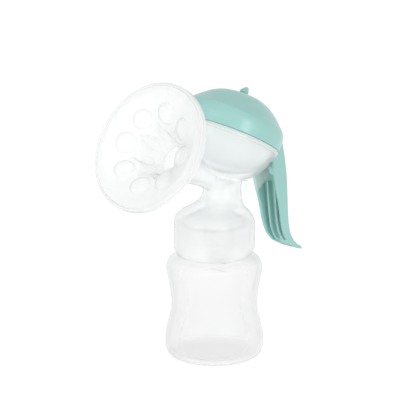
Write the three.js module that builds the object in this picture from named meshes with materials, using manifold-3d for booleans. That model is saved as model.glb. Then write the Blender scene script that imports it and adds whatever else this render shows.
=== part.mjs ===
// Manual breast pump: feeding bottle, clear pump body with its breast shield, silicone massage
// cushion, silicone diaphragm with its stem, duckbill valve and a squeeze handle.
// Millimetres, +Z up. The origin is the centre of the bottle's base. The shield points to -X and
// up, the handle hangs at +X, and the object is mirrored about the XZ plane.

import * as THREE from 'three';
import { mergeVertices } from 'three/addons/utils/BufferGeometryUtils.js';
import Module from 'manifold-3d';

const wasm = await Module();
wasm.setup();

// ---------------------------------------------------------------- driving dimensions

const ROUND_STEPS = 32; // sides of the large round parts
const SMALL_STEPS = 16; // sides of pins and small bores
const GAP = 0.3; // air kept between neighbouring pieces

const BOTTLE_WALL = 1.8;
const BOTTLE_BASE_R = 32.3;
const BOTTLE_WAIST_R = 28.2;
const BOTTLE_SHOULDER_R = 31.5;
const NECK_FINISH_R = 21.2; // the bottle's neck under the thread
const NECK_BORE_R = 19.4;
const NECK_TOP_Z = 90.4;
const THREAD_R = 22.3;
const THREAD_PITCH = 3.6;
const THREAD_TURNS = 1.75;
const THREAD_START_Z = 75.5;

const COLLAR_R = 26.5;
const COLLAR_BORE_R = 24.4;
const COLLAR_LIP_R = 22.8; // mouth of the collar
const COLLAR_BOTTOM_Z = 69;
const COLLAR_TOP_Z = 95.3;

const HEAD_TILT = THREE.MathUtils.degToRad(30); // the bowl's axis leans back to +X from +Z
const HEAD_CENTRE = new THREE.Vector3(14, 0, 147); // centre of the bowl's rim plane
const BOWL_R = 33.2;
const BOWL_DEPTH = 30.5;
const BOWL_WALL = 2;
const BOWL_FLOOR = 5; // the bowl's floor is thicker than its wall
const BOWL_RIM_DROP = 2.4; // the bowl's rim ends this far under the rim plane

const SHIELD_AXIS_DROP = 32.4; // the shield's axis runs this far under the rim plane
const SHIELD_RIM_U = -68.7; // the shield's rim, along the rim plane's forward direction
const SHIELD_RIM_R = 42.5;
const SHIELD_END = 36; // the shield ends this far behind its rim
const THROAT_R = 12.8;
const THROAT_BORE_R = 11;

const BUBBLE_COUNT = 8;
const BUBBLE_RING_R = 24.6;
const BUBBLE_R = 7.1;
const BUBBLE_HEIGHT = 2.6;

const DOME_R = 34.6;
const DOME_WALL = 1.9;
const PIVOT = new THREE.Vector3(51, 0, 118);
const PIN_R = 2.4;
const PIN_CLEARANCE = 0.05;
const PLATE_HALF = 1.8; // half the bracket plate's thickness
const GRIP_HALF = 10.8; // half the handle's width at the pivot
const GRIP_WALL = 2.2;
const SLOT_HALF = 2.3; // half the width of the stem's slot in the dome
const STEM_NECK_R = 1.9;
const STEM_HEAD_HALF = 2.8;

// ---------------------------------------------------------------- materials

const clearPlastic = new THREE.MeshStandardMaterial({
  color: 0xeef0f2, roughness: 0.16, metalness: 0, transparent: true, opacity: 0.4,
});
const milkyPlastic = new THREE.MeshStandardMaterial({
  color: 0xf0f2f3, roughness: 0.3, metalness: 0, transparent: true, opacity: 0.45,
});
const clearSilicone = new THREE.MeshStandardMaterial({
  color: 0xf6f6f6, roughness: 0.35, metalness: 0, transparent: true, opacity: 0.5,
});
const mintPlastic = new THREE.MeshStandardMaterial({ color: 0x9fd0c8, roughness: 0.3, metalness: 0 });

// ---------------------------------------------------------------- geometry helpers

function solid(geometry) {
  geometry.deleteAttribute('normal');
  geometry.deleteAttribute('uv');
  const merged = mergeVertices(geometry, 1e-4);
  return new wasm.Manifold(new wasm.Mesh({
    numProp: 3,
    vertProperties: new Float32Array(merged.attributes.position.array),
    triVerts: new Uint32Array(merged.index.array),
  }));
}

function mesh(name, body, material) {
  const result = body.getMesh();
  const geometry = new THREE.BufferGeometry();
  geometry.setAttribute('position', new THREE.BufferAttribute(result.vertProperties, 3));
  geometry.setIndex(new THREE.BufferAttribute(result.triVerts, 1));
  geometry.computeVertexNormals();
  const node = new THREE.Mesh(geometry, material);
  node.name = name;
  return node;
}

// A turned body about +Z: points are [radius, height], going up the outside.
function turned(points, steps = ROUND_STEPS) {
  const profile = points.map(([r, z]) => new THREE.Vector2(r, z));
  return new THREE.LatheGeometry(profile, steps).rotateX(Math.PI / 2);
}

// A turned ring about +Z, whose profile closes on itself.
function turnedRing(points, steps = ROUND_STEPS) {
  return turned([...points, points[0]], steps);
}

// A plate of the outline [x, z], spread over y from -half to half.
function plate(points, half) {
  const shape = new THREE.Shape(points.map(([x, z]) => new THREE.Vector2(x, z)));
  const geometry = new THREE.ExtrudeGeometry(shape, { depth: 2 * half, bevelEnabled: false });
  return geometry.translate(0, 0, -half).rotateX(Math.PI / 2);
}

// A prism of the outline [y, z], spread over x from x0 to x1.
function frontPrism(points, x0, x1) {
  const shape = new THREE.Shape(points.map(([y, z]) => new THREE.Vector2(y, z)));
  const geometry = new THREE.ExtrudeGeometry(shape, { depth: x1 - x0, bevelEnabled: false });
  return geometry.rotateX(Math.PI / 2).rotateZ(Math.PI / 2).translate(x0, 0, 0);
}

function pinAlongY(x, z, radius, y0, y1) {
  const geometry = new THREE.CylinderGeometry(radius, radius, y1 - y0, SMALL_STEPS);
  return geometry.translate(x, (y0 + y1) / 2, z);
}

// A closed skin over a row of rings, each a list of Vector3 with the same count.
// The rings turn counter-clockwise as seen from the last ring's side.
function skin(rings) {
  const count = rings[0].length;
  const positions = rings.flat().flatMap((p) => [p.x, p.y, p.z]);
  const index = [];
  for (let k = 0; k + 1 < rings.length; k += 1) {
    for (let i = 0; i < count; i += 1) {
      const a = k * count + i;
      const b = k * count + ((i + 1) % count);
      index.push(a, b, b + count, a, b + count, a + count);
    }
  }
  const last = (rings.length - 1) * count;
  for (let i = 1; i + 1 < count; i += 1) {
    index.push(0, i + 1, i);
    index.push(last, last + i, last + i + 1);
  }
  const geometry = new THREE.BufferGeometry();
  geometry.setAttribute('position', new THREE.Float32BufferAttribute(positions, 3));
  geometry.setIndex(index);
  return geometry;
}

// A level ring of a superellipse: power 2 is an ellipse, a higher power is squarer.
function levelRing(x, z, radiusX, radiusY, steps = ROUND_STEPS, power = 2) {
  const ring = [];
  for (let i = 0; i < steps; i += 1) {
    const angle = (2 * Math.PI * i) / steps;
    const c = Math.cos(angle);
    const s = Math.sin(angle);
    const flat = (v) => Math.sign(v) * Math.abs(v) ** (2 / power);
    ring.push(new THREE.Vector3(x + radiusX * flat(c), radiusY * flat(s), z));
  }
  return ring;
}

// An arc of an ellipse as profile points, from angle a0 to a1 in degrees.
function arc(centreR, centreZ, radiusR, radiusZ, a0, a1, steps) {
  const points = [];
  for (let i = 0; i <= steps; i += 1) {
    const angle = THREE.MathUtils.degToRad(a0 + ((a1 - a0) * i) / steps);
    const r = centreR + radiusR * Math.cos(angle);
    points.push([Math.abs(r) < 1e-9 ? 0 : r, centreZ + radiusZ * Math.sin(angle)]);
  }
  return points;
}

// The head frame: x runs back along the rim plane, z along the bowl's axis.
const headMatrix = new THREE.Matrix4()
  .makeRotationY(HEAD_TILT)
  .setPosition(HEAD_CENTRE);

function fromHead(geometry) {
  return geometry.applyMatrix4(headMatrix);
}

// The shield frame: z runs out of the shield's mouth, with 0 at the rim plane.
const shieldMatrix = new THREE.Matrix4()
  .makeRotationY(-Math.PI / 2)
  .setPosition(SHIELD_RIM_U, 0, -SHIELD_AXIS_DROP);

function fromShield(geometry) {
  return fromHead(geometry.applyMatrix4(shieldMatrix));
}

// ---------------------------------------------------------------- bottle

function threadRidge() {
  const stepsPerTurn = ROUND_STEPS;
  const steps = Math.round(THREAD_TURNS * stepsPerTurn);
  const rings = [];
  for (let i = 0; i <= steps; i += 1) {
    const angle = (2 * Math.PI * i) / stepsPerTurn;
    const z = THREAD_START_Z + (THREAD_PITCH * i) / stepsPerTurn;
    const fade = Math.min(1, Math.min(i, steps - i) / 3);
    const crest = NECK_FINISH_R + 0.1 + (THREAD_R - NECK_FINISH_R - 0.1) * fade;
    const section = [[crest, 0.4], [crest, -0.4], [NECK_FINISH_R - 0.8, -1.3], [NECK_FINISH_R - 0.8, 1.3]];
    rings.push(section.map(([r, dz]) => (
      new THREE.Vector3(r * Math.cos(angle), r * Math.sin(angle), z + dz)
    )));
  }
  return skin(rings);
}

function makeBottle() {
  const outside = [
    [0, 0], [24.5, 0], [28.6, 0.9], [31.2, 3.6], [BOTTLE_BASE_R, 9], [BOTTLE_BASE_R - 0.2, 14],
    [30.9, 21], [29.1, 28], [BOTTLE_WAIST_R, 35], [28.7, 43], [30.3, 52],
    [BOTTLE_SHOULDER_R, 60], [30.9, 63.6], [28.6, 66.3], [25, 67.9], [NECK_FINISH_R, 68.6],
    [NECK_FINISH_R, NECK_TOP_Z],
  ];
  const inside = [
    [NECK_BORE_R, NECK_TOP_Z], [NECK_BORE_R, 67.3], [24, 66.1], [27.6, 64.6],
    [29.4, 61.8], [BOTTLE_SHOULDER_R - BOTTLE_WALL, 59.5], [28.5, 51.8], [26.9, 43],
    [BOTTLE_WAIST_R - BOTTLE_WALL, 35], [27.3, 28.4], [29.1, 21.2], [30.3, 13.8],
    [BOTTLE_BASE_R - BOTTLE_WALL, 9.5], [29.4, 5.2], [26.4, 3.2], [0, 2.8],
  ];
  const body = solid(turned([...outside, ...inside])).add(solid(threadRidge()));
  return mesh('bottle', body, milkyPlastic);
}

// ---------------------------------------------------------------- pump body

const NECK_RINGS = [ // [centre x, height, radius] from the collar's top edge up into the bowl
  [0, COLLAR_TOP_Z - 0.6, 24.9], [0.3, 97.6, 23], [1.8, 99.4, 19.8], [4.2, 101.6, 16.4],
  [6.4, 104.6, 13.9], [7.3, 108, 12.7], [7.4, 112, 12.6], [7, 116, 13.2], [5.8, 119.5, 14.4],
  [5.8, 123.5, 14.2],
];
const CHAMBER_X = 7.2;
const CHAMBER_R = 10.2;
const CHAMBER_FLOOR_Z = 98.6;
const CHAMBER_TOP_Z = 116.4;
const SPOUT_X = 4;
const SPOUT_R = 8.3;
const SPOUT_BORE_R = 6.1;
const SPOUT_END_Z = 79;

function bowlCup(radius, depth, top, extra) {
  const level = Math.asin(top / depth) * THREE.MathUtils.RAD2DEG;
  const rim = radius * Math.cos(THREE.MathUtils.degToRad(level));
  const curve = arc(0, 0, radius, depth, -90, level, 12);
  return turned([...curve, [rim, top + extra], [0, top + extra]]);
}

function bracketPlate() {
  const outline = [
    [10, 99], [25, 97.6], [30.8, 100], [40.4, 102.8], [42, 105], [48.9, 108.2],
    [53.2, 112.6], [55.6, 115.6], [56, 120], [53.5, 122.6], [49, 123.3], [40, 122.2],
    [34, 124], [26, 121], [10, 120],
  ];
  const windowOutline = [[21.8, 113.2], [21.8, 103.6], [28.5, 106.6], [33.4, 109.6], [33.4, 112.2]];
  return solid(plate(outline, PLATE_HALF)).subtract(solid(plate(windowOutline, PLATE_HALF + 1)));
}

function makePumpBody() {
  const collar = [
    [0, COLLAR_BOTTOM_Z], [23.8, COLLAR_BOTTOM_Z], [COLLAR_R, 74], [COLLAR_R, 90.5],
    [24.9, COLLAR_TOP_Z], [0, COLLAR_TOP_Z],
  ];
  const collarBore = [
    [0, COLLAR_BOTTOM_Z - 1], [COLLAR_LIP_R, COLLAR_BOTTOM_Z - 1], [COLLAR_LIP_R, 69.8],
    [COLLAR_BORE_R, 73.6], [COLLAR_BORE_R, NECK_TOP_Z + GAP], [19, NECK_TOP_Z + GAP],
    [17.2, 94], [13.5, 96.4], [0, 96.4],
  ];
  const tunnel = [[0, -77], [6.8, -75], [7.2, -62], [8.4, -52], [10.4, -44],
    [THROAT_R, -SHIELD_END - GAP], [0, -SHIELD_END - GAP]];
  const tunnelBore = [[0, -78], [4, -77], [4.4, -62], [6.2, -52], [8.6, -44],
    [THROAT_BORE_R, -SHIELD_END - GAP], [THROAT_BORE_R, -SHIELD_END + 2], [0, -SHIELD_END + 2]];
  const neck = skin(NECK_RINGS.map(([x, z, r]) => levelRing(x, z, r, r)));
  const chamber = skin([
    levelRing(CHAMBER_X, CHAMBER_FLOOR_Z, CHAMBER_R, CHAMBER_R),
    levelRing(CHAMBER_X, CHAMBER_TOP_Z - 3, CHAMBER_R, CHAMBER_R),
    levelRing(CHAMBER_X, CHAMBER_TOP_Z, CHAMBER_R - 3.5, CHAMBER_R - 3.5),
  ]);
  const port = turned([[0, 110], [2.4, 110], [2.4, 124], [0, 124]], SMALL_STEPS).translate(14, 0, 0);
  const bowl = bowlCup(BOWL_R, BOWL_DEPTH, -BOWL_RIM_DROP, 0);
  const bowlHollow = bowlCup(BOWL_R - BOWL_WALL, BOWL_DEPTH - BOWL_FLOOR, -BOWL_RIM_DROP, 4);
  const spout = turnedRing([
    [SPOUT_BORE_R, SPOUT_END_Z], [SPOUT_R, SPOUT_END_Z], [SPOUT_R, 97.2], [SPOUT_BORE_R, 97.2],
  ]).translate(SPOUT_X, 0, 0);
  const spoutBore = turned([
    [0, SPOUT_END_Z], [SPOUT_BORE_R, SPOUT_END_Z], [SPOUT_BORE_R, 100], [0, 100],
  ]).translate(SPOUT_X, 0, 0);
  const pin = pinAlongY(PIVOT.x, PIVOT.z, PIN_R, -GRIP_HALF + 1.2, GRIP_HALF - 1.2);
  const outside = solid(turned(collar))
    .add(solid(neck))
    .add(solid(fromShield(turned(tunnel))))
    .add(solid(fromHead(bowl)))
    .add(bracketPlate());
  return outside
    .subtract(solid(turned(collarBore)))
    .subtract(solid(chamber))
    .subtract(solid(fromShield(turned(tunnelBore))))
    .subtract(solid(fromHead(bowlHollow)))
    .subtract(solid(port))
    .subtract(solid(spoutBore))
    .add(solid(spout))
    .add(solid(pin));
}

// ---------------------------------------------------------------- breast shield and cushion

// Heights are measured out of the mouth, so what lies behind the rim plane is negative.
function makeShield() {
  const back = [
    [THROAT_R, -SHIELD_END], [THROAT_R, -32.5], [14.5, -31], [15.2, -27.5], [21.5, -24],
    [29.4, -17.5], [36, -9.5], [40.4, -3.6], [SHIELD_RIM_R, -2.6], [SHIELD_RIM_R, -1],
  ];
  const front = [
    [40.8, -1], [39.2, -2.4], [34.5, -8.6], [28.1, -16.1], [20.4, -22.4], [13.3, -26.2],
    [12.7, -31.6], [THROAT_BORE_R, -33], [THROAT_BORE_R, -SHIELD_END],
  ];
  return mesh('breast_shield', solid(turnedRing([...back, ...front])), clearPlastic);
}

// The cushion is a shallow cone of soft sheet, hooked over the shield's rim, and a sleeve that
// plugs into the throat. Its bubbles stand proud of the cone.
function makeCushion() {
  const CONE_TOP = [35.4, -0.4];
  const CONE_END = [15.4, -10];
  const sheet = 1.5;
  const back = [
    [10.8, -30.6], [12.3, -30.6], [12.3, -25.6], [13.4, -20], [17, CONE_END[1] - sheet],
    [34.8, CONE_TOP[1] - sheet - 0.4], [39.2, -0.7], [SHIELD_RIM_R + GAP, -0.7],
    [SHIELD_RIM_R + GAP, -3.4], [SHIELD_RIM_R + 1, -3.4], [SHIELD_RIM_R + 1, -0.6],
    [SHIELD_RIM_R + 0.3, 0.3],
  ];
  const front = [
    [38.2, 0.5], CONE_TOP, CONE_END, [12.6, -13.5], [11.4, -19.5], [10.8, -25.4],
  ];
  const slope = Math.atan2(CONE_TOP[1] - CONE_END[1], CONE_TOP[0] - CONE_END[0]);
  const seatZ = CONE_END[1] + (BUBBLE_RING_R - CONE_END[0]) * Math.tan(slope);
  let body = solid(turnedRing([...back, ...front]));
  for (let i = 0; i < BUBBLE_COUNT; i += 1) {
    const angle = (2 * Math.PI * i) / BUBBLE_COUNT;
    const dome = turned([[0, -0.7], [BUBBLE_R, -0.7], ...arc(0, 0, BUBBLE_R, BUBBLE_HEIGHT, 15, 90, 3)],
      16);
    dome.rotateY(-slope).translate(BUBBLE_RING_R, 0, seatZ).rotateZ(angle);
    body = body.add(solid(dome));
  }
  return mesh('massage_cushion', body, clearSilicone);
}

// ---------------------------------------------------------------- diaphragm, stem and valve

const DIAPHRAGM_FLOOR = -19.5;

function makeDiaphragm() {
  const below = [
    [0, DIAPHRAGM_FLOOR], [11, DIAPHRAGM_FLOOR], [19, -17.3], [25, -13], [28.8, -7.8],
    [BOWL_R - BOWL_WALL - 0.8, -4.2], [BOWL_R - BOWL_WALL - 0.8, -1.9], [BOWL_R + GAP, -1.9],
    [BOWL_R + GAP, -3.4], [BOWL_R + 1.2, -3.4], [BOWL_R + 1.2, -0.9], [BOWL_R + 0.7, -0.4],
  ];
  const above = [
    [29.2, -0.4], [29, -4.2], [27.6, -7.4], [24, -12.2], [18.3, -16.2], [10.7, -18.2], [0, -18.2],
  ];
  return mesh('diaphragm', solid(turned([...below, ...above])), clearSilicone);
}

// The stem's foot lies on the diaphragm's floor. Its neck passes the slot in the handle's dome,
// and the head above bears on the slot's two edges.
function makeStem() {
  const foot = DIAPHRAGM_FLOOR + 1.3 + GAP;
  const shaft = turned([
    [0, foot], [8.5, foot], [8.5, foot + 1.6], [4.2, foot + 3.4], [3, foot + 6], [3, 23.6],
    [STEM_NECK_R, 24], [STEM_NECK_R, 31], [0, 31],
  ], SMALL_STEPS);
  const bearing = [];
  for (let i = 0; i <= 6; i += 1) {
    const angle = Math.PI + (Math.PI * i) / 6;
    bearing.push([STEM_HEAD_HALF * Math.cos(angle), 31.2 + STEM_HEAD_HALF * Math.sin(angle)]);
  }
  const head = [...bearing, [2.5, 32.5], [1.9, 33.2], [0.8, 33.3], [-0.6, 32.9], [-1.9, 31.9]];
  return mesh('stem', solid(shaft).add(solid(plate(head, STEM_HEAD_HALF))), mintPlastic);
}

function makeValve() {
  const cup = skin([
    levelRing(0, 68.6, 8.6, 8.6), levelRing(0, 72, 10.2, 10.2), levelRing(0, 86, 10.2, 10.2),
  ]);
  const bill = skin([
    levelRing(0, 56, 1.1, 8.4, ROUND_STEPS, 4), levelRing(0, 62, 3.2, 8.4, ROUND_STEPS, 3),
    levelRing(0, 68.7, 8.4, 8.4),
  ]);
  const pocket = skin([
    levelRing(0, 55.9, 0.25, 6.9, ROUND_STEPS, 4), levelRing(0, 62.3, 1.9, 7, ROUND_STEPS, 3),
    levelRing(0, 69.5, 6.9, 6.9), levelRing(0, 72.5, SPOUT_BORE_R, SPOUT_BORE_R),
    levelRing(0, SPOUT_END_Z - GAP, SPOUT_BORE_R, SPOUT_BORE_R),
    levelRing(0, SPOUT_END_Z - GAP + 0.01, SPOUT_R + GAP, SPOUT_R + GAP),
    levelRing(0, 86.1, SPOUT_R + GAP, SPOUT_R + GAP),
  ]);
  const body = solid(cup).add(solid(bill)).subtract(solid(pocket)).translate([SPOUT_X, 0, 0]);
  return mesh('duckbill_valve', body, clearSilicone);
}

// ---------------------------------------------------------------- handle

const DOME_OUTSIDE = [
  [DOME_R, 0], [34.5, 7.3], [33.2, 11.2], [30.2, 14.9], [26.6, 18.8], [22.4, 22.3],
  [18.3, 24.8], [13.4, 26.7], [7.5, 27.8], [0, 28.1],
];
const DOME_INSIDE = DOME_OUTSIDE.map(([r, z], i) => {
  const next = DOME_OUTSIDE[Math.min(i + 1, DOME_OUTSIDE.length - 1)];
  const last = DOME_OUTSIDE[Math.max(i - 1, 0)];
  const along = new THREE.Vector2(next[0] - last[0], next[1] - last[1]).normalize();
  if (i === 0) return [r - DOME_WALL, z];
  if (r === 0) return [0, z - DOME_WALL];
  return [r - along.y * DOME_WALL, z + along.x * DOME_WALL];
});

// Side view of the grip, [x, z]: the back runs down from the dome to the flared tail.
const GRIP_BACK = [
  [38, 160.2], [43, 157.4], [47.5, 153], [51.3, 147], [54.3, 140.2], [56.6, 133], [58.5, 124.5],
  [60.2, 114], [61.4, 103], [62.4, 93], [63.2, 85], [64.2, 78], [65.4, 72.8], [67.2, 68.6],
  [70.4, 64.2], [75.2, 60.4], [81.4, 57.2], [81.8, 55.9], [81, 55.2],
];
const GRIP_FRONT = [
  [74.3, 57.6], [65.4, 62.7], [60.2, 69], [57.6, 74.6], [55.7, 81.7], [53.7, 91.7],
  [51.3, 99.5], [48.5, 109.5], [46.6, 118], [45.9, 126], [47.4, 132.4], [51.4, 138.5],
  [45.4, 144.6], [36, 155],
];

// The back line of the channel, one wall inside the back of the grip, down to height zEnd.
function channelBack(zEnd) {
  return GRIP_BACK.filter(([, z]) => z > zEnd).map(([x, z], i, line) => {
    const next = line[Math.min(i + 1, line.length - 1)];
    const last = line[Math.max(i - 1, 0)];
    const along = new THREE.Vector2(next[0] - last[0], next[1] - last[1]).normalize();
    return [x + along.y * GRIP_WALL, z - along.x * GRIP_WALL];
  });
}

function gripWidth(inset) {
  const side = [[GRIP_HALF, 167], [GRIP_HALF, 109], [9.6, 79], [9.2, 65], [7.6, 58.6], [4.4, 54.6]];
  const half = side.map(([y, z]) => [y - inset, z]);
  return [...half.map(([y, z]) => [-y, z]), ...half.reverse()];
}

function gripShell() {
  const outer = solid(plate([...GRIP_BACK, ...GRIP_FRONT].reverse(), GRIP_HALF + 1))
    .intersect(solid(frontPrism(gripWidth(0), 30, 90)));
  const inner = solid(plate([...channelBack(60), [60, 56], [25, 56], [25, 152]].reverse(), GRIP_HALF))
    .intersect(solid(frontPrism(gripWidth(GRIP_WALL), 20, 90)));
  return outer.subtract(inner);
}

// Two ribs run down the back wall inside the channel.
function gripRibs() {
  const back = channelBack(67).filter(([, z]) => z < 106);
  const front = back.map(([x, z]) => [x - 4.2, z + 0.6]);
  front[front.length - 1][0] += 2.6;
  const outline = [...back.map(([x, z]) => [x + 0.6, z]).reverse(), ...front];
  const rib = solid(plate(outline, 0.8));
  return rib.translate([0, 3.1, 0]).add(rib.translate([0, -3.1, 0]));
}

function pivotBosses() {
  const inner = GRIP_HALF - GRIP_WALL - 3;
  const near = solid(pinAlongY(PIVOT.x, PIVOT.z, 4.6, inner, GRIP_HALF - 1));
  const far = solid(pinAlongY(PIVOT.x, PIVOT.z, 4.6, -GRIP_HALF + 1, -inner));
  return near.add(far);
}

function makeHandle() {
  const dome = solid(fromHead(turned([...[...DOME_INSIDE].reverse(), ...DOME_OUTSIDE])));
  const hollow = solid(fromHead(turned([[0, -6], [DOME_INSIDE[0][0], -6], ...DOME_INSIDE])));
  const slotLength = 15.4;
  const slot = new THREE.BoxGeometry(slotLength, 2 * SLOT_HALF, 12);
  slot.translate(2.4 - slotLength / 2, 0, 26);
  const pinBore = pinAlongY(PIVOT.x, PIVOT.z, PIN_R + PIN_CLEARANCE, -GRIP_HALF + 1, GRIP_HALF - 1);
  const body = gripShell()
    .subtract(hollow)
    .add(dome)
    .add(gripRibs())
    .add(pivotBosses())
    .subtract(solid(fromHead(slot)))
    .subtract(solid(pinBore));
  return mesh('handle', body, mintPlastic);
}

// ---------------------------------------------------------------- assembly

const pump = new THREE.Group();
const head = new THREE.Group();
head.position.copy(HEAD_CENTRE);
head.rotation.y = HEAD_TILT;
const shield = new THREE.Group();
shield.position.set(SHIELD_RIM_U, 0, -SHIELD_AXIS_DROP);
shield.rotation.y = -Math.PI / 2;
shield.add(makeShield(), makeCushion());
head.add(shield, makeDiaphragm(), makeStem());
pump.add(makeBottle(), mesh('pump_body', makePumpBody(), clearPlastic), makeValve(), makeHandle(), head);

export default pump;
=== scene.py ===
"""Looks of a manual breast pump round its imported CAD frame: bottle, clear pump body with its shield,
silicone cushion and diaphragm, stem, valve and squeeze handle. Shapes are built in millimetres in the
frame's own axes and scaled to metres at the end. Z is up, the bottle stands on the origin, the shield
points to -X and the grip hangs on the +X side."""

import math

import bmesh
import bpy
import numpy as np
from mathutils import Matrix, Vector


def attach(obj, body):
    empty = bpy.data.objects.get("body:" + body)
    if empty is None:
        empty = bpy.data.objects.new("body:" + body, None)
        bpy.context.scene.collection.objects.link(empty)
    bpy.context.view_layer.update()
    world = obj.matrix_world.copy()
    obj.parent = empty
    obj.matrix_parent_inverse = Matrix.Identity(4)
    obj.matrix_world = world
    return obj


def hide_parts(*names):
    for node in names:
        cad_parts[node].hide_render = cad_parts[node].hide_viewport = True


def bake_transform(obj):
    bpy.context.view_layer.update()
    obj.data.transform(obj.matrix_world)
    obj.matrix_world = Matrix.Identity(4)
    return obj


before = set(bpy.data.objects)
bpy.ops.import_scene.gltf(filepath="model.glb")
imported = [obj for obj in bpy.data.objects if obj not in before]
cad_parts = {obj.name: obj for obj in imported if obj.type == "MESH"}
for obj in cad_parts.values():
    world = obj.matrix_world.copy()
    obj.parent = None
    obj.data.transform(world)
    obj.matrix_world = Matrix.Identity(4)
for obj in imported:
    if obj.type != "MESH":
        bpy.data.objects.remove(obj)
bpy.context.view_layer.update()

MM = 0.001

# The head is the bowl, diaphragm, stem and dome, round one tilted axis. The shield's axis is square to it.
HEAD_TILT = math.radians(30)
HEAD_CENTRE = Vector((14, 0, 147))
HEAD = Matrix.Translation(HEAD_CENTRE) @ Matrix.Rotation(HEAD_TILT, 4, "Y")
TO_HEAD = HEAD.inverted()
SHIELD_MOUTH = Vector((-68.7, 0, -32.4))
SHIELD = HEAD @ Matrix.Translation(SHIELD_MOUTH) @ Matrix.Rotation(-math.pi / 2, 4, "Y")
BOWL_RIM = -2.4
PIVOT = Vector((51, 0, 118))
PIVOT_R, PIVOT_REACH = 2.4, 9.6
SPOUT_X = 4
CHAMBER_X = 7.2


# ------------------------------------------------------------------ mesh helpers


def make(name, verts, faces):
    """A mesh object in millimetres with its normals outwards."""
    data = bpy.data.meshes.new(name)
    data.from_pydata([tuple(v) for v in verts], [], faces)
    bm = bmesh.new()
    bm.from_mesh(data)
    bmesh.ops.recalc_face_normals(bm, faces=bm.faces)
    bm.to_mesh(data)
    bm.free()
    obj = bpy.data.objects.new(name, data)
    bpy.context.scene.collection.objects.link(obj)
    return obj


def turn(count):
    """One full turn in equal steps."""
    return [2 * math.pi * k / count for k in range(count)]


def curve(points, steps=6):
    """A smooth line through the points (Catmull-Rom)."""
    p = [np.array(q, float) for q in points]
    p = [2 * p[0] - p[1]] + p + [2 * p[-1] - p[-2]]
    out = []
    for i in range(1, len(p) - 2):
        a, b, c, d = p[i - 1 : i + 3]
        first, second, third = c - a, 2 * a - 5 * b + 4 * c - d, 3 * b - a - 3 * c + d
        for k in range(steps):
            t = k / steps
            out.append(0.5 * (2 * b + first * t + second * t**2 + third * t**3))
    out.append(p[-2])
    return [tuple(q) for q in out]


def lathe(name, profile, segments=128, matrix=None, radius=None):
    """A body turned about Z. The profile closes on itself or runs from axis to axis, and radius can
    change each point's radius by its height and angle."""
    verts, rows = [], []
    for r, z in profile:
        if r < 1e-6:
            rows.append([len(verts)])
            verts.append((0.0, 0.0, z))
            continue
        rows.append([len(verts) + k for k in range(segments)])
        for a in turn(segments):
            rr = r if radius is None else radius(r, z, a)
            verts.append((rr * math.cos(a), rr * math.sin(a), z))
    on_axis = len(rows[0]) == 1 and len(rows[-1]) == 1
    pairs = list(zip(rows, rows[1:])) + ([] if on_axis else [(rows[-1], rows[0])])
    faces = []
    for low, high in pairs:
        for k in range(segments):
            j = (k + 1) % segments
            if len(low) == 1:
                faces.append((low[0], high[j], high[k]))
            elif len(high) == 1:
                faces.append((low[k], low[j], high[0]))
            else:
                faces.append((low[k], low[j], high[j], high[k]))
    obj = make(name, verts, faces)
    if matrix is not None:
        obj.data.transform(matrix)
    return obj


def loft(name, rings, matrix=None):
    """A closed body over rings of points of one count."""
    count = len(rings[0])
    verts = [v for ring in rings for v in ring]
    faces = []
    for k in range(len(rings) - 1):
        for i in range(count):
            j = (i + 1) % count
            faces.append((k * count + i, k * count + j, (k + 1) * count + j, (k + 1) * count + i))
    faces.append(tuple(range(count)))
    faces.append(tuple((len(rings) - 1) * count + i for i in range(count)))
    obj = make(name, verts, faces)
    if matrix is not None:
        obj.data.transform(matrix)
    return obj


def plate(name, outline, half, matrix=None):
    """An outline in x and z, spread over y."""
    rings = [[(x, y, z) for x, z in outline] for y in (-half, half)]
    return loft(name, rings, matrix)


def pin(name, radius, y0, y1, segments=48):
    """A round bar along the pivot's axis."""
    rings = []
    for y in (y0, y1):
        steps = turn(segments)
        rings.append([(PIVOT.x + radius * math.cos(a), y, PIVOT.z + radius * math.sin(a)) for a in steps])
    return loft(name, rings)


def circle(x, z, r, count=96):
    """A level ring of points."""
    return [(x + r * math.cos(a), r * math.sin(a), z) for a in turn(count)]


def squarish(angle, power):
    """A point of a unit circle drawn towards its square, the more so the smaller the power."""
    c, s = math.cos(angle), math.sin(angle)
    return math.copysign(abs(c) ** power, c), math.copysign(abs(s) ** power, s)


def bake(obj):
    """Applies the modifiers."""
    graph = bpy.context.evaluated_depsgraph_get()
    data = bpy.data.meshes.new_from_object(obj.evaluated_get(graph))
    obj.modifiers.clear()
    obj.data = data


def combine(obj, others, operation):
    """Joins the others to the object, or cuts them out of it."""
    for other in others:
        m = obj.modifiers.new("combine", "BOOLEAN")
        m.operation = operation
        m.solver = "MANIFOLD"
        m.object = other
        bake(obj)
        bpy.data.objects.remove(other)


def soften(obj, voxel, rounds):
    """Remeshes and rounds the edges and joins, as a moulded part has them."""
    m = obj.modifiers.new("remesh", "REMESH")
    m.mode = "VOXEL"
    m.voxel_size = voxel
    m = obj.modifiers.new("smooth", "SMOOTH")
    m.factor = 0.5
    m.iterations = rounds
    bake(obj)


def set_milk(obj, values):
    """How milky a see-through wall is at each point, at the least."""
    obj.data.attributes.new("milk", "FLOAT", "POINT").data.foreach_set("value", values)


def finish_piece(obj, body, material, nodes, sharp):
    """Scales a piece to metres and gives it its body and looks. Edges over sharp degrees stay sharp."""
    obj.data.transform(Matrix.Scale(MM, 4))
    obj.data.shade_smooth()
    if sharp:
        obj.data.set_sharp_from_angle(angle=math.radians(sharp))
    obj.data.materials.clear()
    obj.data.materials.append(material)
    if body:
        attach(obj, body)
    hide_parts(*nodes)


# ------------------------------------------------------------------ materials


def nodes_of(name):
    """A material with an empty node tree."""
    material = bpy.data.materials.new(name)
    material.use_nodes = True
    tree = material.node_tree
    tree.nodes.clear()
    return material, tree


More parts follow.
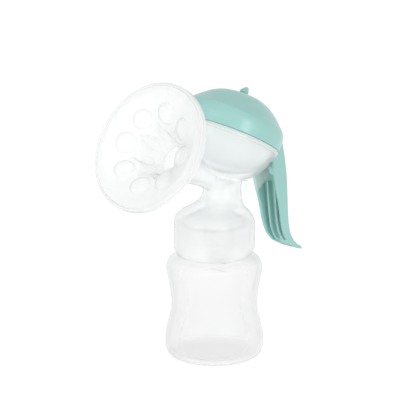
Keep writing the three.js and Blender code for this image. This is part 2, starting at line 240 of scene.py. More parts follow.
def noise(tree, scale, detail=3):
    """Soft noise, with so many spots to the metre."""
    coords = tree.nodes.new("ShaderNodeTexCoord")
    texture = tree.nodes.new("ShaderNodeTexNoise")
    texture.inputs["Scale"].default_value = scale
    texture.inputs["Detail"].default_value = detail
    tree.links.new(coords.outputs["Object"], texture.inputs["Vector"])
    return texture.outputs["Fac"]


def spread(tree, source, low, high):
    """The source's 0.3 to 0.7 mapped to low to high."""
    n = tree.nodes.new("ShaderNodeMapRange")
    n.inputs["From Min"].default_value = 0.3
    n.inputs["From Max"].default_value = 0.7
    n.inputs["To Min"].default_value = low
    n.inputs["To Max"].default_value = high
    tree.links.new(source, n.inputs["Value"])
    return n.outputs["Result"]


def two_tones(tree, source, dark, light):
    """The source's 0.3 to 0.7 coloured from dark to light."""
    n = tree.nodes.new("ShaderNodeValToRGB")
    n.color_ramp.elements[0].position = 0.3
    n.color_ramp.elements[0].color = (*dark, 1)
    n.color_ramp.elements[1].position = 0.7
    n.color_ramp.elements[1].color = (*light, 1)
    tree.links.new(source, n.inputs["Fac"])
    return n.outputs["Color"]


def surface(tree, dark, light, rough, grain_scale, grain, specular=0.5):
    """A Principled shader whose colour, gloss and grain vary a little over the surface."""
    n = tree.nodes.new("ShaderNodeBsdfPrincipled")
    tree.links.new(two_tones(tree, noise(tree, 14), dark, light), n.inputs["Base Color"])
    tree.links.new(spread(tree, noise(tree, 55, 4), *rough), n.inputs["Roughness"])
    n.inputs["Specular IOR Level"].default_value = specular
    bump = tree.nodes.new("ShaderNodeBump")
    bump.inputs["Strength"].default_value = grain
    bump.inputs["Distance"].default_value = 0.0002
    tree.links.new(noise(tree, grain_scale, 2), bump.inputs["Height"])
    tree.links.new(bump.outputs["Normal"], n.inputs["Normal"])
    return n


def opaque(name, **tones):
    """A solid material, and its shader for more settings."""
    material, tree = nodes_of(name)
    n = surface(tree, **tones)
    out = tree.nodes.new("ShaderNodeOutputMaterial")
    tree.links.new(n.outputs[0], out.inputs["Surface"])
    return material, n


DEEPEST = 6.5


def see_through(name, face_on, edge_on, power, glow, lamp, tint=(1, 1, 1), edge_tint=0.6, **tones):
    """A thin wall. face_on and edge_on are its milky share where it is seen square and at a glance. The
    rest shows what is behind it, tinted, and darker by edge_tint at a glance. glow is the part of the
    milk that is lit from behind, and lamp is the part that stops lamp light and bounced light. The "milk"
    attribute is the least share at a point. A wall seen through more than DEEPEST others is solid."""
    material, tree = nodes_of(name)
    n = surface(tree, **tones)
    back_lit = tree.nodes.new("ShaderNodeBsdfTranslucent")
    tree.links.new(n.inputs["Base Color"].links[0].from_socket, back_lit.inputs["Color"])
    milk = tree.nodes.new("ShaderNodeMixShader")
    milk.inputs["Fac"].default_value = glow
    tree.links.new(n.outputs[0], milk.inputs[1])
    tree.links.new(back_lit.outputs[0], milk.inputs[2])
    clear = tree.nodes.new("ShaderNodeBsdfTransparent")
    facing = tree.nodes.new("ShaderNodeLayerWeight")
    facing.inputs["Blend"].default_value = 0.5
    edge = tree.nodes.new("ShaderNodeValToRGB")
    edge.color_ramp.elements[0].position = 0.55
    edge.color_ramp.elements[0].color = (*tint, 1)
    edge.color_ramp.elements[1].position = 0.97
    edge.color_ramp.elements[1].color = (*[edge_tint * c for c in tint], 1)
    tree.links.new(facing.outputs["Facing"], edge.inputs["Fac"])
    tree.links.new(edge.outputs["Color"], clear.inputs["Color"])

    def calculate(operation, first, second):
        node = tree.nodes.new("ShaderNodeMath")
        node.operation = operation
        for socket, value in zip(node.inputs, (first, second)):
            if isinstance(value, (int, float)):
                socket.default_value = value
            else:
                tree.links.new(value, socket)
        return node.outputs[0]

    share = tree.nodes.new("ShaderNodeMapRange")
    share.inputs["To Min"].default_value = face_on
    share.inputs["To Max"].default_value = edge_on
    tree.links.new(calculate("POWER", facing.outputs["Facing"], power), share.inputs["Value"])
    path = tree.nodes.new("ShaderNodeLightPath")
    deep = calculate("GREATER_THAN", path.outputs["Transparent Depth"], DEEPEST)
    least = tree.nodes.new("ShaderNodeAttribute")
    least.attribute_name = "milk"
    seen = calculate("MAXIMUM", share.outputs["Result"], least.outputs["Fac"])
    seen = calculate("MAXIMUM", seen, deep)
    passing = calculate("MAXIMUM", path.outputs["Is Shadow Ray"], path.outputs["Is Diffuse Ray"])
    stops = calculate("SUBTRACT", 1.0, calculate("MULTIPLY", passing, 1 - lamp))
    mix = tree.nodes.new("ShaderNodeMixShader")
    tree.links.new(calculate("MULTIPLY", seen, stops), mix.inputs["Fac"])
    tree.links.new(clear.outputs[0], mix.inputs[1])
    tree.links.new(milk.outputs[0], mix.inputs[2])
    out = tree.nodes.new("ShaderNodeOutputMaterial")
    tree.links.new(mix.outputs[0], out.inputs["Surface"])
    return material


mint, mint_shader = opaque(
    "mint", dark=(0.288, 0.525, 0.492), light=(0.310, 0.555, 0.520), rough=(0.27, 0.36),
    grain_scale=900, grain=0.05,
)
mint_shader.inputs["Subsurface Weight"].default_value = 0.12
mint_shader.inputs["Subsurface Radius"].default_value = (0.6, 1.0, 0.9)
mint_shader.inputs["Subsurface Scale"].default_value = 0.002
clear_pp = see_through(
    "clear_pp", 0.05, 0.6, tint=(0.99, 0.995, 0.995), power=2.6, glow=0.35, lamp=0.12, edge_tint=0.75,
    dark=(0.93, 0.945, 0.945), light=(0.965, 0.975, 0.975), rough=(0.10, 0.2), grain_scale=500, grain=0.05,
)
bottle_pp = see_through(
    "bottle_pp", 0.24, 0.78, tint=(0.99, 0.99, 0.99), power=2.6, glow=0.5, lamp=0.28, edge_tint=0.8,
    dark=(0.905, 0.905, 0.905), light=(0.94, 0.94, 0.94), rough=(0.16, 0.26), grain_scale=400, grain=0.06,
)
cushion_silicone = see_through(
    "cushion_silicone", 0.5, 0.72, power=2.2, glow=0.38, lamp=0.15, edge_tint=0.22,
    dark=(0.94, 0.945, 0.945), light=(0.965, 0.97, 0.97), rough=(0.2, 0.28), grain_scale=700, grain=0.1,
)
soft_silicone = see_through(
    "soft_silicone", 0.62, 0.85, power=2.0, glow=0.35, lamp=0.12,
    dark=(0.93, 0.945, 0.945), light=(0.96, 0.97, 0.97), rough=(0.3, 0.42), grain_scale=700, grain=0.1,
)
valve_silicone = see_through(
    "valve_silicone", 0.02, 0.08, power=2.4, glow=0.55, lamp=0.1, edge_tint=0.97,
    dark=(0.93, 0.945, 0.945), light=(0.96, 0.97, 0.97), rough=(0.3, 0.42), grain_scale=700, grain=0.1,
)


# ------------------------------------------------------------------ bottle

NECK_R, NECK_FOOT = 21.2, 69.6
THREAD_START, THREAD_PITCH, THREAD_TURNS = 75.5, 3.6, 1.75
THREAD_HEIGHT, THREAD_HALF = 1.1, 1.25
NECK_STEP = 0.3


def thread(r, z, angle):
    """Radius of the neck finish with the thread's ridge running round it."""
    if r < NECK_R - 0.1 or not 73 < z < 86:
        return r
    height = 0.0
    for lap in range(3):
        along = angle / (2 * math.pi) + lap
        fade = min(1.0, max(0.0, min(along, THREAD_TURNS - along) * 10))
        off = abs(z - THREAD_START - THREAD_PITCH * along) / THREAD_HALF
        height = max(height, fade * max(0.0, 1 - off**2.5))
    return r + THREAD_HEIGHT * height


def make_bottle():
    """A waisted bottle on a rounded base, from the middle of its foot out, up, over the lip and back in."""
    foot = [(0, 0.5), (22.5, 0.45), (23.4, 0.1)]
    wall = curve([
        (24.5, 0), (27, 0.35), (29.2, 1.4), (31.1, 3.6), (32.1, 6.6), (32.3, 9), (32.1, 14), (30.9, 21),
        (29.1, 28), (28.2, 35), (28.7, 43), (30.3, 52), (31.3, 57.5), (31.5, 60), (31.1, 62.6), (29.9, 65.2),
        (27.6, 67.1), (25, 68.1), (22.6, 68.5), (21.5, 68.9), (NECK_R, NECK_FOOT),
    ], 4)
    neck = [(NECK_R, NECK_FOOT + NECK_STEP * k) for k in range(1, 67)]
    lip = [(21.1, 90.0), (20.8, 90.3), (20.3, 90.4), (19.9, 90.4), (19.5, 90.2), (19.4, 89.8), (19.4, 75)]
    inside = curve([
        (19.4, 68.6), (19.8, 67.7), (21.5, 66.9), (24, 66.1), (27.2, 64.6), (29.0, 62.4), (29.6, 60),
        (29.3, 57.3), (28.5, 52), (26.9, 43), (26.4, 35), (27.3, 28.2), (29.1, 21.2), (30.2, 14), (30.5, 9.5),
        (30.0, 6.6), (28.8, 4.6), (26.6, 3.3), (24, 2.9),
    ], 4)
    floor_inside = [(12, 2.8), (0, 2.8)]
    obj = lathe("bottle_look", foot + wall + neck + lip + inside + floor_inside, 160, radius=thread)
    finish_piece(obj, "bottle", bottle_pp, ["bottle"], 50)


# ------------------------------------------------------------------ clear body

NECK_RINGS = [
    (0, 94.9, 24.6), (0.1, 96.1, 24.2), (0.6, 97.5, 22.6), (1.8, 99.3, 19.7), (3.5, 101.4, 16.9),
    (5.6, 103.9, 14.5), (6.9, 106.8, 13.1), (7.35, 110, 12.6), (7.3, 113.5, 12.8), (6.8, 117, 13.7),
    (6.1, 120, 14.8), (5.8, 123.5, 15),
]
CHAMBER_RINGS = [(98.6, 9.2), (99.2, 10.2), (113, 10.4), (115.4, 9), (116.4, 6.7)]
COLLAR_BORE_R = 24.4
BOWL_OUTSIDE, BOWL_INSIDE = (33.2, 30.5), (31.2, 25.5)
SPOUT_R, SPOUT_BORE_R, SPOUT_FOOT = 8.3, 6.1, 79
PORT_R = 2.4
BRACKET_HALF = 1.8


def bowl(name, radius, depth, extra):
    """The lower part of an ellipsoid up to the bowl's rim, carried straight up by extra."""
    level = math.asin(BOWL_RIM / depth)
    steps = 28
    angles = [-math.pi / 2 + (level + math.pi / 2) * k / steps for k in range(steps + 1)]
    line = [(max(0.0, radius * math.cos(a)), depth * math.sin(a)) for a in angles]
    line[0] = (0, -depth)
    return lathe(name, line + [(line[-1][0], BOWL_RIM + extra), (0, BOWL_RIM + extra)], 128, HEAD)


def inner_thread(r, z, angle):
    """Radius of the collar's bore with its own thread, which runs between the bottle's turns."""
    if r < COLLAR_BORE_R - 0.1 or not 75 < z < 88.5:
        return r
    turns = (z - THREAD_START - THREAD_PITCH / 2) / THREAD_PITCH - angle / (2 * math.pi)
    off = abs(turns - round(turns)) * THREAD_PITCH / 1.2
    fade = min(1, z - 75, 88.5 - z)
    return r - 1.4 * fade * max(0.0, 1 - off**2)


def collar_and_bore():
    """The collar's outside, and the cut that opens it for the bottle's neck and thread."""
    side = curve([(23.8, 69), (25.2, 70.6), (26.3, 72.9), (26.6, 75), (26.6, 82), (26.5, 90), (26.1, 92.6),
                  (25.3, 94.8), (24.9, 95.3)], 5)
    threaded = [(COLLAR_BORE_R, 73.4 + NECK_STEP * k) for k in range(58)] + [(COLLAR_BORE_R, 90.7)]
    roof = [(19, 90.7), (17.2, 94), (13.5, 96.4), (0, 96.4)]
    collar = lathe("clear_body", [(0, 69), (23.4, 69)] + side + [(0, 95.3)], 128)
    bore = [(0, 68), (22.8, 68), (22.8, 69.8)] + threaded + roof
    return collar, lathe("collar_bore", bore, 128, radius=inner_thread)


def tunnel_and_bore():
    """The tube from the shield's throat into the chamber, on the shield's axis, and its hole."""
    outside = curve([(6.8, -75), (7.2, -62), (8.4, -52), (10.4, -44), (12.8, -36.4), (13.2, -33)], 6)
    inside = curve([(4, -77), (4.4, -62), (6.2, -52), (8.6, -44), (11, -36), (11, -33)], 6)
    tunnel = lathe("tunnel", [(0, -77)] + outside + [(13.2, -30), (0, -30)], 96, SHIELD)
    return tunnel, lathe("tunnel_bore", [(0, -78)] + inside + [(11, -20), (0, -20)], 96, SHIELD)


def shield():
    """The funnel behind the cushion, from the throat out along its back, round the rim and in again."""
    back = curve([(12.8, -36), (12.9, -32.5), (13.9, -30.4), (15.6, -27.3), (21.5, -24), (29.4, -17.5),
                  (36, -9.5), (40.2, -4.0)], 6)
    rim = [(42.2, -2.7), (42.5, -2.4), (42.5, -1.3), (42.2, -1), (41.1, -1)]
    front = curve([(40.6, -1.4), (39.0, -2.7), (34.5, -8.6), (28.1, -16.1), (20.4, -22.4), (13.6, -26.2),
                   (12.6, -31.6), (11, -33.6), (11, -36)], 6)
    return lathe("shield", back + rim + front, 192, SHIELD)


def bracket_and_window():
    """The flat plate that carries the pivot, and the hole in its corner by the neck."""
    edge = curve([(10, 99), (20, 98.2), (25, 98), (30.8, 100), (37, 101.9), (41.2, 103.9), (44.6, 106.4),
                  (48.9, 108.8), (53.2, 112.6), (55.7, 115.8), (56, 119.6), (53.6, 122.5), (49, 123.2),
                  (40, 122.2), (34, 124), (26, 121)], 5)
    hole = curve([(21.8, 112.4), (21.8, 104.4), (22.7, 103.5), (28.5, 106.4), (32.9, 109.2), (33.2, 110.7),
                  (32.2, 112.1), (27, 112.9), (22.6, 113.1), (21.8, 112.4)], 4)
    return plate("bracket", edge + [(10, 120)], BRACKET_HALF), plate("window", hole[:-1], 4)


def milkiness(p):
    """The clear body's least milky share at a point: most in the thread's ridges, least in the bracket."""
    h = TO_HEAD @ p
    if h.x < -38 or (h.x < -30 and abs(h.z - SHIELD_MOUTH.z) < 14):
        return 0.5
    if h.x > -37 and h.z > -31 and h.x**2 + h.y**2 + h.z**2 * 1.18 < 34.5**2:
        return 0.36
    if p.x > 12 and abs(p.y) < 2.6 and p.z > 97 and math.hypot(p.x - 7, p.y) > 12.5:
        return 0.2
    if 74 < p.z < 89 and 22.6 < math.hypot(p.x, p.y) < 23.8:
        return 0.8
    return 0.46


def make_clear_body():
    """Pump body and shield as one clear moulding: the outsides joined and rounded, then the bores cut."""
    body, collar_bore = collar_and_bore()
    tunnel, tunnel_bore = tunnel_and_bore()
    bracket, window = bracket_and_window()
    spout_place = Matrix.Translation((SPOUT_X, 0, 0))
    spout = [(SPOUT_BORE_R, SPOUT_FOOT), (SPOUT_R, SPOUT_FOOT), (SPOUT_R, 97.2), (SPOUT_BORE_R, 97.2)]
    spout_bore = [(0, SPOUT_FOOT), (SPOUT_BORE_R, SPOUT_FOOT), (SPOUT_BORE_R, 100), (0, 100)]
    port = [(0, 110), (PORT_R, 110), (PORT_R, 124), (0, 124)]
    neck = loft("neck", [circle(*ring) for ring in NECK_RINGS])
    combine(body, [neck, tunnel, bowl("bowl_outside", *BOWL_OUTSIDE, 0), bracket], "UNION")
    soften(body, 0.55, 7)
    combine(body, [
        collar_bore,
        loft("chamber", [circle(CHAMBER_X, z, r) for z, r in CHAMBER_RINGS]),
        tunnel_bore,
        bowl("bowl_inside", *BOWL_INSIDE, 6),
        lathe("port", port, 32, Matrix.Translation((HEAD_CENTRE.x, 0, 0))),
        lathe("spout_bore", spout_bore, 64, spout_place),
        window,
    ], "DIFFERENCE")
    combine(body, [
        shield(),
        lathe("spout", spout, 64, spout_place),
        pin("trunnions", PIVOT_R, -PIVOT_REACH, PIVOT_REACH),
    ], "UNION")
    set_milk(body, [milkiness(vertex.co) for vertex in body.data.vertices])
    body.visible_shadow = body.visible_diffuse = False
    finish_piece(body, "pump", clear_pp, ["pump_body", "breast_shield"], 38)


# ------------------------------------------------------------------ cushion

BUBBLES = 8
BUBBLE_RING, BUBBLE_R, BUBBLE_H = 24.6, 7.0, 3.6
CONE_TOP, CONE_END = (35.2, -0.5), (14.6, -10.6)
CONE_SLOPE = (CONE_TOP[1] - CONE_END[1]) / (CONE_TOP[0] - CONE_END[0])
MOUTH_R, MOUTH_SCALLOP, MOUTH_EDGE = 14.4, 5.2, 0.7
THROAT_R, THROAT_END = 11.0, -30.6
CONE_ROWS, THROAT_ROWS = 64, 26


def cone_z(r):
    """Height of the cushion's cone at a radius."""
    return CONE_TOP[1] + (r - CONE_TOP[0]) * CONE_SLOPE


def mouth(angle):
    """Radius of the throat's mouth: scallops that reach out between the bubbles."""
    petal = abs(math.cos(BUBBLES * angle / 2))
    return MOUTH_R + MOUTH_SCALLOP * (1 - petal**0.8)


def bubble(r, angle):
    """How far the nearest bubble lifts the cone's skin at a point."""
    pitch = 2 * math.pi / BUBBLES
    nearest = round(angle / pitch) * pitch
    x = r * math.cos(angle - nearest) - BUBBLE_RING
    y = r * math.sin(angle - nearest)
    d = math.hypot(x / math.cos(math.atan(CONE_SLOPE)), y) / BUBBLE_R
    if d >= 1:
        return 0.0
    return BUBBLE_H * (1 - d * d) ** 0.55


def cone_row(i, angle):
    """Radius and height in the skin's i-th row, from the rim's edge down to the mouth."""
    normal = Vector((-CONE_SLOPE, 0, 1)).normalized()
    r = CONE_TOP[0] + (mouth(angle) + MOUTH_EDGE - CONE_TOP[0]) * i / CONE_ROWS
    h = bubble(r, angle)
    return r + normal.x * h, cone_z(r) + normal.z * h


def throat_row(i, angle):
    """Radius and height in the throat's i-th row, from the scalloped mouth to the round end."""
    t = i / THROAT_ROWS
    top = mouth(angle)
    edge = cone_z(top + MOUTH_EDGE)
    ease = t * t * (3 - 2 * t)
    r = top + (THROAT_R - top) * ease + MOUTH_EDGE * max(0.0, 1 - 6 * t) ** 2
    return r, edge - 0.5 * min(1, 8 * t) + (THROAT_END - edge + 0.5) * t


def make_cushion():
    """A soft cone with one bubble to each petal; its mouth runs in scallops between the bubbles."""
    segments = 384
    sleeve = curve([(10.8, -30.6), (12.2, -30.7), (12.35, -25.6), (13.6, -19.5), (16.6, -12.6),
                    (19.5, -9.7)], 6)
    hook = curve([(39.2, -0.75), (42, -0.75), (42.8, -1.3), (42.8, -3.2)], 4)
    rim = curve([(43.0, -3.45), (43.3, -3.45), (43.5, -3.1), (43.5, -1.0), (43.25, 0.0), (42.3, 0.45)], 5)
    groove = [(41.95, 0.5), (41.5, -0.35), (41.05, 0.55)]
    shoulder = curve([(40.6, 0.6), (37.6, 0.5), (36.1, 0.15)], 5)
    back = sleeve + [(34.8, -2.4)] + hook + rim + groove + shoulder
    rings = [[point] * segments for point in back]
    rings += [[cone_row(i, a) for a in turn(segments)] for i in range(CONE_ROWS + 1)]
    rings += [[throat_row(i, a) for a in turn(segments)] for i in range(1, THROAT_ROWS + 1)]
    verts = []
    faces = []
    for k, ring in enumerate(rings):
        verts += [(r * math.cos(a), r * math.sin(a), z) for (r, z), a in zip(ring, turn(segments))]
        low, high = k * segments, (k + 1) % len(rings) * segments
        for i in range(segments):
            j = (i + 1) % segments
            faces.append((low + i, low + j, high + j, high + i))
    obj = make("cushion_look", verts, faces)
    throat_points = THROAT_ROWS * segments
    set_milk(obj, [0.0] * (len(verts) - throat_points) + [0.85] * throat_points)
    obj.data.transform(SHIELD)
    obj.visible_diffuse = False
    finish_piece(obj, "pump", cushion_silicone, ["massage_cushion"], 55)


# ------------------------------------------------------------------ diaphragm, stem and valve


def make_diaphragm():
    """A cup in the bowl with a beaded rim."""
    below = curve([(11, -19.5), (15.5, -18.8), (19.5, -17), (25, -12.8), (28.6, -7.9), (30.2, -4.4),
                   (30.4, -2)], 6)
    ledge = [(30.7, -1.9), (33.5, -1.9), (33.5, -2.8)]
    bead = curve([(33.8, -3), (34.2, -3), (34.4, -2.7), (34.4, -1.2), (34.1, -0.6), (33.5, -0.4),
                  (29.6, -0.4)], 5)
    above = curve([(29.2, -0.7), (29, -4), (27.4, -7.6), (24, -12.0), (18.4, -16), (14.5, -17.6),
                   (10.7, -18.2)], 6)
    profile = [(0, -19.5)] + below + ledge + bead + above + [(0, -18.2)]
    obj = lathe("diaphragm_look", profile, 128, HEAD)
    finish_piece(obj, None, soft_silicone, ["diaphragm"], 50)
    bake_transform(obj)


# Height, the two ends along x and half the width of the fin on the stem's head, in the head's frame.
FIN_RINGS = [
    (28.4, -1.6, 1.4, 2.6), (28.8, -2.4, 2.0, 2.75), (29.8, -2.8, 2.3, 2.8), (30.6, -2.5, 2.35, 2.5),
    (31.6, -1.6, 2.35, 1.9), (32.6, -0.6, 2.2, 1.4), (33.1, 0.0, 1.9, 1.0), (33.3, 0.5, 1.5, 0.5),
]


def make_stem():
    """A rod on a round foot, and the fin that holds its head on the dome."""
    foot = [(0, -17.9), (8.2, -17.9), (8.5, -17.6), (8.5, -16.5), (8.2, -16.2)]
    flare = curve([(5.4, -15.2), (3.8, -13.4), (3.1, -11)], 6)
    rod = [(3, 23.2), (2.7, 23.8), (1.9, 24.2), (1.9, 31), (0, 31)]
    stem = lathe("stem_look", foot + flare + rod, 64, HEAD)
    rings = []
    for z, x0, x1, half in FIN_RINGS:
        centre, reach = (x0 + x1) / 2, (x1 - x0) / 2
        ring = [squarish(a, 0.7) for a in turn(32)]
        rings.append([(centre + reach * x, half * y, z) for x, y in ring])
    combine(stem, [loft("fin", rings, HEAD)], "UNION")
    soften(stem, 0.22, 5)
    finish_piece(stem, "stem", mint, ["stem"], 0)


def oval(rx, ry, z, power):
    """A ring round the spout's axis, from an ellipse at power 2 to nearly a rectangle at power 4."""
    return [(SPOUT_X + rx * x, ry * y, z) for x, y in (squarish(a, 2 / power) for a in turn(96))]


def make_valve():
    """A duckbill: a round cuff on the spout that flattens into two lips, shut, with a slit between them."""
    valve = loft("valve_look", [oval(*ring) for ring in (
        (1.1, 8.4, 56, 4), (1.4, 8.4, 58, 3.6), (3.2, 8.4, 62, 3), (6, 8.5, 66, 2.3), (8.4, 8.6, 68.7, 2),
        (10, 10, 71, 2), (10.2, 10.2, 72, 2), (10.2, 10.2, 85.7, 2), (9.9, 9.9, 86, 2),
    )])
    pocket = loft("pocket", [oval(*ring) for ring in (
        (1.5, 6.8, 61.9, 4), (1.9, 7, 62.3, 3), (6.9, 6.9, 69.5, 2), (6.1, 6.1, 72.5, 2),
        (6.1, 6.1, 78.7, 2), (8.6, 8.6, 78.8, 2), (8.6, 8.6, 87, 2),
    )])
    slit = loft("slit", [oval(0.25, 6.9, z, 4) for z in (55, 56.7)])
    combine(valve, [pocket, slit], "DIFFERENCE")
    valve.visible_shadow = valve.visible_diffuse = False
    finish_piece(valve, "pump", valve_silicone, ["duckbill_valve"], 40)


# ------------------------------------------------------------------ handle

DOME = [
    (34.6, 0), (34.6, 3), (34.5, 7.3), (33.2, 11.2), (30.2, 14.9), (26.6, 18.8), (22.4, 22.3), (18.3, 24.8),
    (13.4, 26.7), (7.5, 27.8), (0.001, 28.1),
]
DOME_TOP = 28.1
DOME_WALL = 1.9
CREASE_LOW, CREASE_Z, CREASE_HIGH = 2, 12.8, 21
GRIP_BACK = [
    (38, 160.2), (43, 157.4), (47.5, 153), (51.3, 147), (54.3, 140.2), (56.6, 133), (58.5, 124.5),
    (60.2, 114), (61.4, 103), (62.4, 93), (63.2, 85), (64.2, 78), (65.4, 72.8), (67.2, 68.6), (70.4, 64.2),
    (75.2, 60.4), (81.0, 57.3), (81.9, 56.4), (82, 55.4),
]
GRIP_FRONT = [
    (81.0, 55.3), (74.3, 57.6), (65.4, 62.7), (60.2, 69), (57.6, 74.6), (55.7, 81.7), (53.7, 91.7),
    (51.3, 99.5), (48.5, 109.5), (46.6, 118), (45.9, 126), (47.4, 132.4), (51.4, 138.5),
]
# Half the grip's width at a height, as (width, height).
GRIP_HALF = [(4.4, 54.6), (7.6, 58.6), (9.2, 65), (9.6, 79), (10.8, 109), (10.8, 167)]
GRIP_WALL, CHANNEL_OPEN = 2.2, 14
GRIP_ROOT = 138
GRIP_CORNER, CHANNEL_CORNER = 2.4, 1.2
RIB_Y, RIB_HALF, RIB_SUNK, RIB_DEPTH = 3.1, 0.8, 0.8, 4.2
BOSS_R, BOSS_IN, BOSS_OUT = 4.6, 5.6, 9.8
SLOT_HALF, SLOT_FRONT, SLOT_BACK = 2.3, -10.7, 2.4


def at_level(line, z):
    """Where a line of (x, z) points crosses a level."""
    pts = sorted(line, key=lambda p: p[1])
    return float(np.interp(z, [p[1] for p in pts], [p[0] for p in pts]))


def dome_line():
    """The dome's outside and inside lines, from its edge to its top, one wall apart."""
    outside = curve(DOME, 5)
    outside[-1] = (0, DOME_TOP)
    inside = []
    for i, (r, z) in enumerate(outside):
        a, b = outside[max(i - 1, 0)], outside[min(i + 1, len(outside) - 1)]
        along = Vector((b[0] - a[0], b[1] - a[1])).normalized()
        inside.append((max(0.0, r - along.y * DOME_WALL), z + along.x * DOME_WALL))
    inside[0] = (outside[0][0] - DOME_WALL, 0)
    inside[-1] = (0, DOME_TOP - DOME_WALL)
    return outside, inside


def crease(r, z, angle):
    """The dome's crease: a ridge at one height, proud at the front with a small lip at the tip, that
    fades to the sides."""
    if not CREASE_LOW < z < CREASE_HIGH or r < 24:
        return r
    off_front = abs(math.remainder(angle - math.pi, 2 * math.pi))
    share = max(0.0, math.cos(min(off_front / 2.6, 1) * math.pi / 2)) ** 1.1
    tip = max(0.0, math.cos(min(off_front / 0.9, 1) * math.pi / 2))
    if z < CREASE_Z:
        rise = ((z - CREASE_LOW) / (CREASE_Z - CREASE_LOW)) ** 1.6
        lip = 0.0
    else:
        rise = (1 - (z - CREASE_Z) / (CREASE_HIGH - CREASE_Z)) ** 1.6
        lip = min(1, (z - CREASE_Z) / 0.3) * rise
    return r + 1.9 * share * rise + 0.9 * tip * lip


def grip_ring(z, back, front, half, corner):
    """One level of the grip: square at the front, with round corners at the back."""
    ring = [(front, -half, z)]
    for k in range(25):
        a = -math.pi / 2 + math.pi * k / 24
        c, s = max(0.0, math.cos(a)), math.sin(a)
        ring.append((back - corner + corner * c, math.copysign(half - corner, s) + corner * s, z))
    return ring + [(front, half, z)]


def grip_body(name, levels, inset, front_shift, largest_corner):
    """The grip's outside, or with an inset the channel that hollows it from the front."""
    rings = []
    for z in levels:
        back = at_level(GRIP_BACK, z + 0.55 * inset * max(0.0, (72 - z) / 12)) - inset
        front = at_level(GRIP_FRONT, min(z, GRIP_ROOT)) - front_shift
        if z > GRIP_ROOT:
            front = min(front, 51.4 - 0.95 * (z - GRIP_ROOT) - front_shift)
        corner = min(largest_corner, (back - front) * 0.6)
        rings.append(grip_ring(z, back, front, at_level(GRIP_HALF, z) - inset, corner))
    return loft(name, rings)


def rib(y):
    """One of the two ribs along the channel's floor, shallower at its foot."""
    back = [(at_level(GRIP_BACK, z) - GRIP_WALL, z) for z in np.linspace(105.5, 63, 44)]
    front = [(x - RIB_DEPTH + (2.6 if z < 63.5 else 0), z + 0.6) for x, z in back]
    outline = [(x + RIB_SUNK, z) for x, z in reversed(back)] + front
    return plate("rib", outline, RIB_HALF, Matrix.Translation((0, y, 0)))


def stem_slot():
    """The slot in the dome's top that the stem's head slides in, round at its front end."""
    angles = np.linspace(0.2, math.pi - 0.2, 12)
    outline = [(SLOT_BACK, -SLOT_HALF), (SLOT_BACK, SLOT_HALF), (SLOT_FRONT, SLOT_HALF)]
    outline += [(SLOT_FRONT - SLOT_HALF * math.sin(a), SLOT_HALF * math.cos(a)) for a in angles]
    outline += [(SLOT_FRONT, -SLOT_HALF)]
    return loft("slot", [[(x, y, z) for x, y in outline] for z in (20, 33)], HEAD)


def make_handle():
    """The dome and the hollow grip in one moulding, rounded, then cut for the stem and the pivot."""
    outside, inside = dome_line()
    fine = []
    for (r0, z0), (r1, z1) in zip(outside, outside[1:]):
        fine += [(r0 + (r1 - r0) * k / 4, z0 + (z1 - z0) * k / 4) for k in range(4)]
    fine.append(outside[-1])
    handle = lathe("handle_look", list(reversed(inside)) + fine, 192, HEAD, crease)
    hollow = lathe("hollow", [(0, -6), (inside[0][0], -6)] + inside, 128, HEAD)
    grip = grip_body("grip", np.linspace(160, 55.4, 100), 0, 0, GRIP_CORNER)
    channel = grip_body("channel", np.linspace(157, 58.4, 90), GRIP_WALL, CHANNEL_OPEN, CHANNEL_CORNER)
    combine(grip, [channel, hollow], "DIFFERENCE")
    bosses = [pin("boss", BOSS_R, y0, y1) for y0, y1 in ((BOSS_IN, BOSS_OUT), (-BOSS_OUT, -BOSS_IN))]
    combine(handle, [grip, rib(RIB_Y), rib(-RIB_Y)] + bosses, "UNION")
    soften(handle, 0.4, 5)
    combine(handle, [stem_slot(), pin("bore", PIVOT_R + 0.05, -BOSS_OUT, BOSS_OUT)], "DIFFERENCE")
    finish_piece(handle, "handle", mint, ["handle"], 40)


make_bottle()
make_clear_body()
make_cushion()
make_diaphragm()
make_stem()
make_valve()
make_handle()


# ------------------------------------------------------------------ stage, light and camera, in metres

FLOOR_HALF, FLOOR_DROP = 6.0, 0.0001
LIGHT_AIM = Vector((0, 0, 0.1))
CAMERA_AZIMUTH, CAMERA_ELEVATION, CAMERA_DISTANCE = math.radians(-47.1), math.radians(16.0), 2.2
CAMERA_LENS = 288.5
CENTRE_HEIGHT, SHIFT_RIGHT, SHIFT_UP = 0.09, -0.0028, 0.0082


def make_floor():
    """A plain pale floor that glows a little, as an overexposed sweep does."""
    corners = [(-FLOOR_HALF, -FLOOR_HALF, 0), (FLOOR_HALF, -FLOOR_HALF, 0), (FLOOR_HALF, FLOOR_HALF, 0),
               (-FLOOR_HALF, FLOOR_HALF, 0)]
    floor = make("floor", corners, [(0, 1, 2, 3)])
    floor.location.z = -FLOOR_DROP
    paint, shader = opaque(
        "floor", dark=(0.93, 0.93, 0.93), light=(0.95, 0.95, 0.95), rough=(0.1, 0.14),
        grain_scale=80, grain=0.0, specular=0.4,
    )
    shader.inputs["Emission Color"].default_value = (1, 1, 1, 1)
    shader.inputs["Emission Strength"].default_value = 0.2
    floor.data.materials.append(paint)


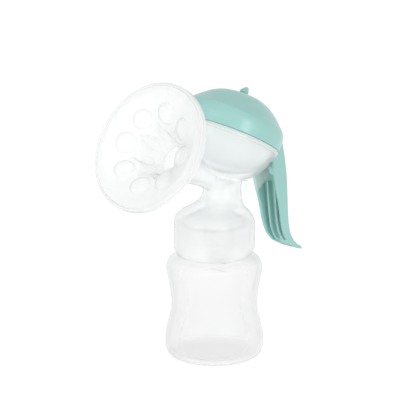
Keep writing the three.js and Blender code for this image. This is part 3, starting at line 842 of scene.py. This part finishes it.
def make_sky():
    """White all round, greyer overhead."""
    world = bpy.data.worlds.new("studio")
    bpy.context.scene.world = world
    world.use_nodes = True
    tree = world.node_tree
    sky = tree.nodes.new("ShaderNodeValToRGB")
    sky.color_ramp.elements[0].position = 0.48
    sky.color_ramp.elements[0].color = (1, 1, 1, 1)
    sky.color_ramp.elements[1].position = 0.95
    sky.color_ramp.elements[1].color = (0.62, 0.62, 0.62, 1)
    direction = tree.nodes.new("ShaderNodeTexCoord")
    height = tree.nodes.new("ShaderNodeSeparateXYZ")
    half_up = tree.nodes.new("ShaderNodeMapRange")
    half_up.inputs["From Min"].default_value = -1
    tree.links.new(direction.outputs["Generated"], height.inputs[0])
    tree.links.new(height.outputs["Z"], half_up.inputs["Value"])
    tree.links.new(half_up.outputs["Result"], sky.inputs["Fac"])
    tree.links.new(sky.outputs["Color"], tree.nodes["Background"].inputs["Color"])
    tree.nodes["Background"].inputs["Strength"].default_value = 1.04


def add_object(name, data):
    obj = bpy.data.objects.new(name, data)
    bpy.context.scene.collection.objects.link(obj)
    return obj


def softbox(name, place, size, power):
    """A square lamp turned towards the object."""
    data = bpy.data.lights.new(name, "AREA")
    data.energy = power
    data.size = size
    lamp = add_object(name, data)
    lamp.location = place
    lamp.rotation_mode = "QUATERNION"
    lamp.rotation_quaternion = (LIGHT_AIM - Vector(place)).to_track_quat("-Z", "Y")


def overhead_light():
    """A weak, very soft light from above."""
    data = bpy.data.lights.new("sky", "SUN")
    data.energy = 0.35
    data.angle = math.radians(70)
    add_object("sky", data).rotation_euler = (math.radians(12), math.radians(-14), 0)


def make_camera():
    """A long lens on the shield's side of the pump, turned towards -Y, that looks a little down. Its aim
    is shifted so that the object sits off centre."""
    flat, rise = math.cos(CAMERA_ELEVATION), math.sin(CAMERA_ELEVATION)
    back = Vector((math.sin(CAMERA_AZIMUTH) * flat, -math.cos(CAMERA_AZIMUTH) * flat, rise))
    right = Vector((math.cos(CAMERA_AZIMUTH), math.sin(CAMERA_AZIMUTH), 0))
    up = back.cross(right)
    aim = Vector((0, 0, CENTRE_HEIGHT)) + right * SHIFT_RIGHT + up * SHIFT_UP
    data = bpy.data.cameras.new("camera")
    data.lens = CAMERA_LENS
    camera = add_object("camera", data)
    camera.location = aim + back * CAMERA_DISTANCE
    camera.rotation_mode = "QUATERNION"
    camera.rotation_quaternion = back.to_track_quat("Z", "Y")
    bpy.context.scene.camera = camera


make_floor()
make_sky()
softbox("front", (-0.45, -1.65, 0.5), 0.5, 6.5)
softbox("side", (-1.5, 0.2, 0.5), 0.6, 4.5)
overhead_light()
make_camera()
bpy.context.scene.view_settings.view_transform = "Standard"
